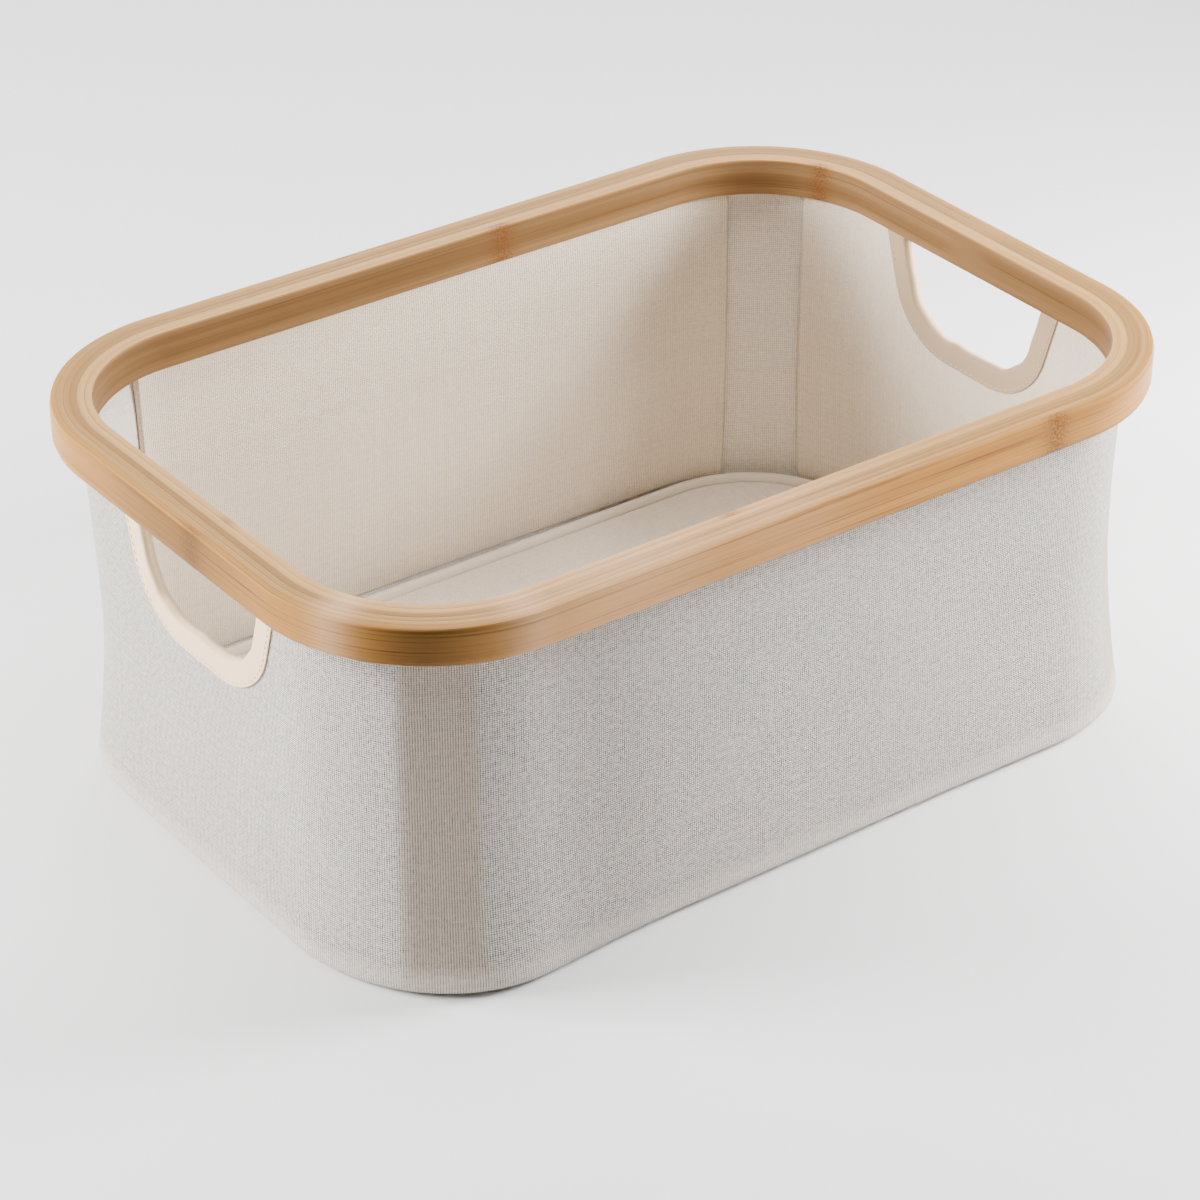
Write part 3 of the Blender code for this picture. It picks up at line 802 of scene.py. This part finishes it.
def backing_of(points):
    """How much a board backs the canvas at each point: 1 behind a board, 0 where it hangs free, and at most a
    half at the foot below the boards. Less backing shows more of the bare canvas's painted shade.
    """
    x, y, z = points[..., 0], points[..., 1], points[..., 2]
    beyond_x = np.clip(np.abs(x) - ALONG, 0.0, None)
    beyond_y = np.clip(np.abs(y) - ACROSS, 0.0, None)
    angle = np.arctan2(beyond_y, np.maximum(beyond_x, 1e-9))
    end_reach, long_reach = reaches_at(x, y)
    from_end = WALL_RADIUS * (angle - end_reach)
    from_long = WALL_RADIUS * (math.pi / 2 - long_reach - angle)
    free = np.minimum(from_end, from_long)
    free = np.where((beyond_x > 0) & (beyond_y > 0), free, -1.0)
    side = 1.0 - np.clip((free + 0.0022) / 0.0044, 0.0, 1.0)
    foot = np.clip((z - BOARD_BOTTOM + 0.002) / 0.006, 0.0, 1.0)
    return side * (0.5 + 0.5 * foot * foot * (3 - 2 * foot))


def sleeve_section():
    """The sleeve's (inset, z) run from its clamped top down the wall, under the foot and up the seam."""
    wall = [(CANVAS_OUTSIDE, z) for z in np.linspace(CANVAS_TOP, FOOT_RADIUS, 74)[:-1]]
    centre = (CANVAS_OUTSIDE + FOOT_RADIUS, FOOT_RADIUS)
    foot = []
    for step in range(13):
        angle = math.pi + step / 12 * math.pi / 2
        foot.append((centre[0] + FOOT_RADIUS * math.cos(angle), centre[1] + FOOT_RADIUS * math.sin(angle)))
    seam = HALF_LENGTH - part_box("base_panel")[1].x - 0.0003
    under = [(inset, 0.0) for inset in np.linspace(foot[-1][0], seam - 0.0008, 3)[1:]]
    up = [(seam, 0.0009), (seam, 0.003), (seam, SEAM_HEIGHT)]
    return np.array(wall + foot + under + up)


def offset_section(section, distance):
    """A section moved sideways towards the inside of the bin."""
    along = np.gradient(section, axis=0)
    along = along / np.linalg.norm(along, axis=1)[:, None]
    return section + np.column_stack([-along[:, 1], along[:, 0]]) * distance


# Shade painted into the front wall beside the front left corner: how much, where along x, width.
SLEEVE_SHADE = (0.2, -0.096, 0.026)
# Canvas colours where a board backs it, where it hangs free, and where it glows: the bare colour is painted
# shade, and the glowing colour is painted light that comes through the cloth.
SLEEVE_TONES = ((0.665, 0.608, 0.548), (0.52, 0.435, 0.355), (0.95, 0.87, 0.78))
# How much painted glow the canvas gets at its foot, below the boards.
FOOT_GLOW = 0.4
WRINKLE_DEPTH = 0.00016


def build_sleeve():
    """One layer of canvas all round, with its two handle openings."""
    section = sleeve_section()
    u_run = run_of(outline(CANVAS_OUTSIDE))
    v_run = run_of(section, False)
    flat = ring_grid(section)
    x, y, z = flat[..., 0], flat[..., 1], flat[..., 2]
    upright = 1.0 - np.clip((section[:, 0] - CANVAS_OUTSIDE - FOOT_RADIUS) / 0.002, 0.0, 1.0)[None, :]
    outer = settled(flat, upright)
    inner = settled(ring_grid(offset_section(section, CANVAS_THICKNESS)), upright)
    backed = backing_of(flat)
    wrinkle = np.sin(z * 1500.0 + 2.2 * np.sin(x * 160.0)) * np.sin(z * 410.0 + 1.0)
    wrinkle = wrinkle * (1.0 - backed) * np.clip((z - 0.02) / 0.02, 0, 1) * (z < RIM_BOTTOM)
    normal_x, normal_y, _ = plan_frame(x, y)
    inner[..., 0] -= normal_x * wrinkle * WRINKLE_DEPTH
    inner[..., 1] -= normal_y * wrinkle * WRINKLE_DEPTH
    middle_y = (y[:, :-1] + y[:, 1:]) / 2
    middle_y = (middle_y + np.roll(middle_y, -1, axis=0)) / 2
    middle_z = (z[:, :-1] + z[:, 1:]) / 2
    cut = in_handle(x[:, :-1], middle_y, middle_z, CUT_OUTSET) & (middle_z < RIM_BOTTOM + 0.001)
    cut = cut & (np.abs(x[:, :-1]) > ALONG + WALL_RADIUS - 0.004)
    # Painted light at the foot, below the boards.
    glow = FOOT_GLOW * np.clip((BOARD_BOTTOM + 0.003 - z) / 0.006, 0.0, 1.0)
    depth, place, width = SLEEVE_SHADE
    shade = np.where(y < 0, depth * bump(x, place, width), 0.0)
    # The inner face is painted fully backed and fully glowing, with no painted shade.
    ones = np.ones_like(backed)
    piece = thick_sheet("canvas_sleeve_cloth", outer, inner, u_run, v_run, True, ~cut,
                        {"backed": (backed, ones), "glow": (glow, ones), "shade": (shade, 0.0 * ones)})
    dress(piece, canvas_material("canvas_outside", SLEEVE_TONES, 1.15), "bin", ("canvas_sleeve",))


LINING_CANVAS = (0.91, 0.79, 0.645)
# The radius of a lining's turned-in free edge, its depth as a multiple of that, and the steps of a
# panel's bend round a corner and of the turned-in edge.
LINING_TURN = 0.0009
TURN_DEPTH = 2.1
BEND_STEPS = 13
TURN_STEPS = 8

WALL_TURNS = {"right": 0, "back": 1, "left": 2, "front": 3}
# The corners at the start and at the end of each wall's run, which goes anticlockwise.
WALL_CORNERS = {
    "right": ((1, -1), (1, 1)),
    "back": ((1, 1), (-1, 1)),
    "left": ((-1, 1), (-1, -1)),
    "front": ((-1, -1), (1, -1)),
}


def wall_half(wall, corner, inset, end_turn):
    """Half of a wall panel's plan run, drawn from the wall's middle towards +x with the wall facing +y."""
    long_wall = wall in ("front", "back")
    straight, depth = (ALONG, ACROSS) if long_wall else (ACROSS, ALONG)
    reach = math.radians(PANEL_REACHES[corner][1 if long_wall else 0])
    radius = CORNER_RADIUS - inset
    count = 36 if long_wall else 22
    half = [((straight * step / count, depth + radius), (0.0, 1.0)) for step in range(count)]
    for step in range(BEND_STEPS + 1):
        angle = reach * step / BEND_STEPS
        normal = (math.sin(angle), math.cos(angle))
        half.append(((straight + radius * normal[0], depth + radius * normal[1]), normal))
    if end_turn:
        base, normal = np.array(half[-1])
        forward = np.array([normal[1], -normal[0]])
        for step in range(1, TURN_STEPS + 1):
            turn = math.pi / 2 * step / TURN_STEPS
            point = base + end_turn * (forward * math.sin(turn) + TURN_DEPTH * normal * (1 - math.cos(turn)))
            half.append((tuple(point), tuple(forward * math.sin(turn) + normal * math.cos(turn))))
    return half


def wall_run(wall, inset, end_turn):
    """Plan points and normals along one wall panel, each end turned a quarter towards the sleeve."""
    begin, finish = (wall_half(wall, corner, inset, end_turn) for corner in WALL_CORNERS[wall])
    run = list(reversed(begin)) + [((-p[0], p[1]), (-n[0], n[1])) for p, n in finish[1:]]
    angle = (WALL_TURNS[wall] - 1) * math.pi / 2
    turn = np.array([[math.cos(angle), -math.sin(angle)], [math.sin(angle), math.cos(angle)]])
    return (np.array(side) @ turn.T for side in zip(*run))


def wall_panel(name, wall, inset, thickness, z_values, end_turn=0.0, backed=False):
    """A sheet that follows one wall, with the handle opening cut out of it, and its running length."""
    points, normals = wall_run(wall, inset + thickness / 2, end_turn)
    u_run = run_of(points, False)
    grids = []
    for side in (0.5, -0.5):
        plan = points + normals * thickness * side
        grids.append(np.stack([np.column_stack([plan, np.full(len(plan), z)]) for z in z_values], axis=1))
    middle = (grids[0][:-1, :-1] + grids[0][1:, 1:]) / 2
    cut = in_handle(middle[..., 0], middle[..., 1], middle[..., 2], CUT_OUTSET) & (wall in ("left", "right"))
    ones = np.ones(grids[0].shape[:2])
    piece = thick_sheet(name, settled(grids[0]), settled(grids[1]), u_run, z_values, False, ~cut,
                        {"backed": (ones, ones)} if backed else None)
    return piece, u_run


def build_walls():
    """Boards in their pockets, and the lining panels that close the pockets on the inside."""
    card = board_material("grey_board")
    canvas = canvas_material("canvas_lining", 3 * (LINING_CANVAS,), 0.36, 40.0)
    for wall in WALL_TURNS:
        z_values = np.linspace(PANEL_TOP, BOARD_BOTTOM, 60)
        piece, _ = wall_panel(f"board_{wall}_card", wall, BOARD_OUTSIDE, BOARD_THICKNESS, z_values)
        dress(piece, card, "bin", (f"board_{wall}",))
        z_values = np.linspace(PANEL_TOP, LINING_BOTTOM, 62)
        piece, u_run = wall_panel(f"lining_{wall}_cloth", wall, LINING_OUTSIDE, CANVAS_THICKNESS, z_values,
                                  LINING_TURN, True)
        dress(piece, canvas, "bin", (f"lining_{wall}",))


# ---------------------------------------------------------------- handle tape and stitches


TAPE_THICKNESS = 0.0005
# The air between layers of cloth, and how far the stitches sit from the tape's edge.
LAYER_GAP = 0.0003
STITCH_MARGIN = 0.0014


def end_wall_x(inset, y):
    """How far from the middle a layer of an end wall is at y."""
    beyond = np.clip(np.abs(y) - ACROSS, 0.0, None)
    return ALONG + np.sqrt((CORNER_RADIUS - inset) ** 2 - beyond**2)


def tape_line(depth):
    """The folded tape's (outset, inset) points at a depth below its outer surface."""
    outside = CANVAS_OUTSIDE - LAYER_GAP - TAPE_THICKNESS
    inside = LINING_INSIDE + LAYER_GAP + TAPE_THICKNESS
    middle = (outside + inside) / 2
    half = (inside - outside) / 2
    fold = 0.6 * half
    line = [(out, outside + depth) for out in np.linspace(HANDLE_TAPE_WIDTH, fold, 8)]
    for step in range(1, 8):
        angle = math.pi / 2 + step / 8 * math.pi
        line.append((fold + (fold - depth) * math.cos(angle), middle - (half - depth) * math.sin(angle)))
    return np.array(line + [(out, inside - depth) for out in np.linspace(fold, HANDLE_TAPE_WIDTH, 8)])


def handle_points(pairs, side):
    """A grid of points for (outset, inset) pairs followed round the handle's edge, a little puckered."""
    columns = []
    for outset, inset in pairs:
        edge = handle_edge(outset) + np.array([HANDLE_SHIFTS["left" if side < 0 else "right"], 0.0])
        along = np.gradient(edge, axis=0)
        along = along / np.linalg.norm(along, axis=1)[:, None]
        run = run_of(edge, False)
        pucker = np.sin(run * 330.0 + side) + 0.6 * np.sin(run * 530.0 + 2.0 * side)
        pucker = pucker * np.clip(1.0 - outset / HANDLE_TAPE_WIDTH, 0.0, 1.0) * np.sin(np.pi * run / run[-1])
        edge = edge + np.column_stack([along[:, 1], -along[:, 0]]) * pucker[:, None] * 0.00035
        columns.append(np.column_stack([side * end_wall_x(inset, edge[:, 0]), edge]))
    return settled(np.stack(columns, axis=1))


THREAD_RADIUS = 0.00021
STITCH_RINGS = 6
STITCH_SIDES = 6


def stitches(name, line, face, body, lift=0.0001):
    """A row of short thread stitches along a line on a surface that faces one way, joined in one piece."""
    run = run_of(line, False)
    count = int(run[-1] / STITCH_PITCH)
    points, faces = [], []

    def at(place):
        return np.array([np.interp(place, run, line[:, k]) for k in range(3)])

    for index in range(count):
        middle = (index + 0.5) * run[-1] / count
        forward = at(middle + 0.0004) - at(middle - 0.0004)
        forward = forward / np.linalg.norm(forward)
        up = np.array(face) - forward * np.dot(face, forward)
        up = up / np.linalg.norm(up)
        aside = np.cross(forward, up)
        start = len(points)
        for ring in range(STITCH_RINGS + 1):
            share = ring / STITCH_RINGS
            width = THREAD_RADIUS * math.sqrt(max(math.sin(math.pi * (0.04 + 0.92 * share)), 0.0))
            sag = -0.00022 * (2 * share - 1) ** 2
            centre = at(middle) + forward * (share - 0.5) * STITCH_LENGTH + up * (lift + sag)
            for turn in range(STITCH_SIDES):
                angle = 2 * math.pi * turn / STITCH_SIDES
                points.append(centre + aside * width * math.cos(angle) + up * width * math.sin(angle))
        for ring in range(STITCH_RINGS):
            for turn in range(STITCH_SIDES):
                a = start + ring * STITCH_SIDES + turn
                b = start + ring * STITCH_SIDES + (turn + 1) % STITCH_SIDES
                faces.append((a, b, b + STITCH_SIDES, a + STITCH_SIDES))
        faces.append(tuple(start + turn for turn in reversed(range(STITCH_SIDES))))
        faces.append(tuple(start + STITCH_RINGS * STITCH_SIDES + turn for turn in range(STITCH_SIDES)))
    return dress(add_mesh(name, points, faces), bpy.data.materials["tape_thread"], body)


def build_handles():
    """The stitched tape round each handle opening."""
    tape = tape_material("binding_tape", (0.88, 0.64, 0.38))
    thread_material("tape_thread", (0.62, 0.49, 0.34))
    outer_line, inner_line = tape_line(0.0), tape_line(TAPE_THICKNESS)
    v_run = run_of(outer_line, False)
    u_run = run_of(handle_edge(0.004), False)
    middle = (outer_line[0][1] + outer_line[-1][1]) / 2
    # Painted shade on the tape's side that faces into the bin.
    inward = np.clip((outer_line[:, 1] - middle) / 0.0012 + 0.3, 0.0, 1.0)
    inward = np.broadcast_to(inward[None, :], (len(u_run), len(v_run)))
    for label, side in (("left", -1), ("right", 1)):
        skins = [handle_points(line, side) for line in (outer_line, inner_line)]
        skins = skins if side < 0 else skins[::-1]
        piece = thick_sheet(f"handle_tape_{label}_cloth", *skins, u_run, v_run,
                            layers={"inward": (inward, inward)})
        dress(piece, tape, "bin", (f"handle_tape_{label}",))
        for inset, name, sign in ((outer_line[0][1], "outside", 1.0), (outer_line[-1][1], "inside", -1.0)):
            line = handle_points([(HANDLE_TAPE_WIDTH - STITCH_MARGIN, inset)], side)[:, 0]
            stitches(f"handle_stitches_{label}_{name}", line, (side * sign, 0.0, 0.0), "bin")


# ---------------------------------------------------------------- base and insert


# Widths and insets of the insert's turned-under hem and of its rounded edge.
HEM_WIDTH = 0.025
HEM_INSET = INSERT_OUTSIDE + HEM_WIDTH
INSERT_EDGE = 0.0017
BASE_CANVAS = (0.60, 0.57, 0.54)
PLATE_STEPS = (14, 40, 26)


def plate(name, section, cap_rows):
    """A turned-up plate: rounded rectangles joined in order, with flat gridded caps at both ends.
    The UVs are plan coordinates, so the weave runs straight across the plate."""
    grid = ring_grid(section, *PLATE_STEPS)
    nu, nv = grid.shape[:2]
    points = [tuple(p) for p in grid.reshape(-1, 3)]
    faces = []
    for i in range(nu):
        after = (i + 1) % nu
        for j in range(nv - 1):
            faces.append((i * nv + j, after * nv + j, after * nv + j + 1, i * nv + j + 1))
    for column, flip in ((0, False), (nv - 1, True)):
        previous = [i * nv + column for i in range(nu)]
        edge = np.array([points[v] for v in previous])
        for row in range(1, cap_rows + 1):
            share = 1 - row / cap_rows
            start = len(points)
            at_middle = row == cap_rows
            points += [(p[0] * share, p[1] * share, p[2]) for p in (edge[:1] if at_middle else edge)]
            fresh = [start] * nu if at_middle else list(range(start, start + nu))
            for i in range(nu):
                after = (i + 1) % nu
                ring = (previous[i], fresh[i], previous[after])
                ring = ring if at_middle else (previous[i], fresh[i], fresh[after], previous[after])
                faces.append(ring if flip else tuple(reversed(ring)))
            previous = fresh
    points = np.array(points)
    uvs = [(points[v][0], points[v][1]) for face in faces for v in face]
    return add_mesh(name, points, faces, uvs, {"backed": np.ones(len(points))})


def build_base():
    """The base panel with its upturned seam."""
    canvas = canvas_material("canvas_base", 3 * (BASE_CANVAS,), 0.5, 60.0)
    inside = BASE_OUTSIDE + CANVAS_THICKNESS
    section = [(BASE_OUTSIDE + 0.0015, 0.0), (BASE_OUTSIDE + 0.0004, 0.0004), (BASE_OUTSIDE, 0.0015),
               (BASE_OUTSIDE, SEAM_HEIGHT), (inside, SEAM_HEIGHT), (inside, 0.0018),
               (inside + 0.0003, 0.0009), (inside + 0.0012, CANVAS_THICKNESS)]
    piece = plate("base_panel_cloth", section, 10)
    dress(piece, canvas, "bin", ("base_panel",))


def build_seam_tape():
    """The tape folded over the base's seam."""
    low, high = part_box("seam_tape")
    outside = HALF_LENGTH - high.x
    width = 2 * (TAPE_THICKNESS + LAYER_GAP + CANVAS_THICKNESS) + LAYER_GAP
    inside = outside + width
    top = high.z
    leg = TAPE_THICKNESS
    section = np.array([
        (outside, low.z), (outside, top - 0.0010), (outside + 0.0004, top - 0.0002),
        (outside + width / 2, top), (inside - 0.0004, top - 0.0002), (inside, top - 0.0010),
        (inside, low.z), (inside - leg, low.z), (inside - leg, top - leg - 0.0004),
        (outside + width / 2, top - leg), (outside + leg, top - leg - 0.0004), (outside + leg, low.z)])
    steps = (16, 40, 26)
    u_run = run_of(outline(outside, *steps))
    piece = loop_mesh("seam_tape_cloth", ring_grid(section, *steps), u_run, run_of(section))
    dress(piece, bpy.data.materials["binding_tape"], "bin", ("seam_tape",))


def insert_section():
    """The cover's (inset, height) run: inside over the board, round under the hem, and out over the top."""
    under_top = INSERT_TOP - CANVAS_THICKNESS
    over_bottom = INSERT_BOTTOM + CANVAS_THICKNESS
    inside = INSERT_OUTSIDE + CANVAS_THICKNESS
    section = [(HEM_INSET + 0.030, under_top), (INSERT_OUTSIDE + 0.0012, under_top),
               (inside, INSERT_TOP - 0.0013), (inside, INSERT_BOTTOM + 0.0013),
               (INSERT_OUTSIDE + 0.0012, over_bottom), (HEM_INSET, over_bottom),
               (HEM_INSET, INSERT_BOTTOM), (INSERT_OUTSIDE + INSERT_EDGE, INSERT_BOTTOM)]
    for step in range(1, 5):
        angle = step / 5 * math.pi / 2
        section.append((INSERT_OUTSIDE + INSERT_EDGE * (1 - math.sin(angle)),
                        INSERT_BOTTOM + INSERT_EDGE * (1 - math.cos(angle))))
    for step in range(6):
        angle = step / 5 * math.pi / 2
        section.append((INSERT_OUTSIDE + INSERT_EDGE * (1 - math.cos(angle)),
                        INSERT_TOP - INSERT_EDGE * (1 - math.sin(angle))))
    return section + [(INSERT_OUTSIDE + 0.006, INSERT_TOP)]


def build_insert():
    """The lift-out base: canvas round a board, with its hem turned under."""
    piece = plate("insert_cover_cloth", insert_section(), 12)
    for vertex in piece.data.vertices:
        x, y, z = vertex.co
        if z > INSERT_TOP - 0.0002:
            sag = math.sin(x * 38.0 + 1.0) * math.sin(y * 47.0 + 0.5) * 0.00022
            fade = min(1.0, max(0.0, (HALF_LENGTH - INSERT_OUTSIDE - abs(x)) / 0.03))
            fade = fade * min(1.0, max(0.0, (HALF_WIDTH - INSERT_OUTSIDE - abs(y)) / 0.03))
            vertex.co.z = z + (sag - 0.0001) * fade
    dress(piece, bpy.data.materials["canvas_lining"], "base_insert", ("insert_cover",))
    plan = outline(HEM_INSET - 0.004, *PLATE_STEPS)
    line = np.column_stack([plan, np.full(len(plan), INSERT_BOTTOM)])
    line = np.vstack([line, line[:1]])
    row = stitches("insert_hem_stitches", line, (0.0, 0.0, -1.0), "base_insert", 0.00002)


def paint_node(node, material):
    """Give a CAD piece that keeps its own shape a material."""
    node.data.materials.clear()
    node.data.materials.append(material)


def paint_kept_nodes():
    """The insert's board and the staples keep their CAD shape."""
    paint_node(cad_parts["insert_board"], bpy.data.materials["grey_board"])
    steel = steel_material("staple_steel")
    for name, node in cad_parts.items():
        if name.startswith("staple_"):
            paint_node(node, steel)


# ---------------------------------------------------------------- floor, light and camera


def area_light(name, place, target, size, power):
    """A square soft box aimed at a point."""
    data = bpy.data.lights.new(name, "AREA")
    data.energy = power
    data.shape = "RECTANGLE"
    data.size = size
    data.size_y = size
    light = bpy.data.objects.new(name, data)
    bpy.context.scene.collection.objects.link(light)
    light.location = place
    aim = Vector(target) - Vector(place)
    light.rotation_euler = aim.to_track_quat("-Z", "Y").to_euler()


def build_studio():
    """A plain floor, a faint even sky and four soft boxes."""
    mesh = bpy.data.meshes.new("floor")
    half = 6.0
    corners = [(-half, -half, 0), (half, -half, 0), (half, half, 0), (-half, half, 0)]
    mesh.from_pydata(corners, [], [(0, 1, 2, 3)])
    floor = bpy.data.objects.new("floor", mesh)
    bpy.context.scene.collection.objects.link(floor)
    mesh.materials.append(floor_material("studio_floor"))
    world = bpy.data.worlds.new("studio")
    world.use_nodes = True
    backdrop = world.node_tree.nodes["Background"]
    backdrop.inputs["Color"].default_value = (1.0, 1.0, 1.0, 1.0)
    backdrop.inputs["Strength"].default_value = 0.08
    bpy.context.scene.world = world
    area_light("left_box", (-1.08, 0.69, 0.60), (-0.1, 0.0, 0.08), 0.6, 60.0)
    area_light("right_box", (0.62, -0.29, 0.36), (0.2, -0.1, 0.08), 0.3, 18.5)
    area_light("top_box", (0.10, 0.15, 2.1), (0.0, 0.0, 0.1), 1.5, 42.0)
    area_light("back_box", (0.80, 1.15, 0.85), (0.0, 0.0, 0.15), 0.9, 15.0)


CAMERA_AZIMUTH = math.radians(-36.32)
CAMERA_ELEVATION = math.radians(31.07)
CAMERA_DISTANCE = 1.4949
CAMERA_LENS = 115.76
CAMERA_TARGET = Vector((-0.03138, -0.03683, RIM_TOP - 0.0800))


def build_camera():
    """The camera, set by its direction, distance and target."""
    back = Vector((math.sin(CAMERA_AZIMUTH) * math.cos(CAMERA_ELEVATION),
                   -math.cos(CAMERA_AZIMUTH) * math.cos(CAMERA_ELEVATION),
                   math.sin(CAMERA_ELEVATION)))
    data = bpy.data.cameras.new("camera")
    data.lens = CAMERA_LENS
    data.sensor_width = 36.0
    data.clip_start = 0.01
    camera = bpy.data.objects.new("camera", data)
    bpy.context.scene.collection.objects.link(camera)
    camera.location = CAMERA_TARGET + back * CAMERA_DISTANCE
    camera.rotation_euler = (-back).to_track_quat("-Z", "Y").to_euler()
    bpy.context.scene.camera = camera


build_camera()
build_studio()
build_rim()
build_sleeve()
build_walls()
build_handles()
build_base()
build_seam_tape()
build_insert()
paint_kept_nodes()
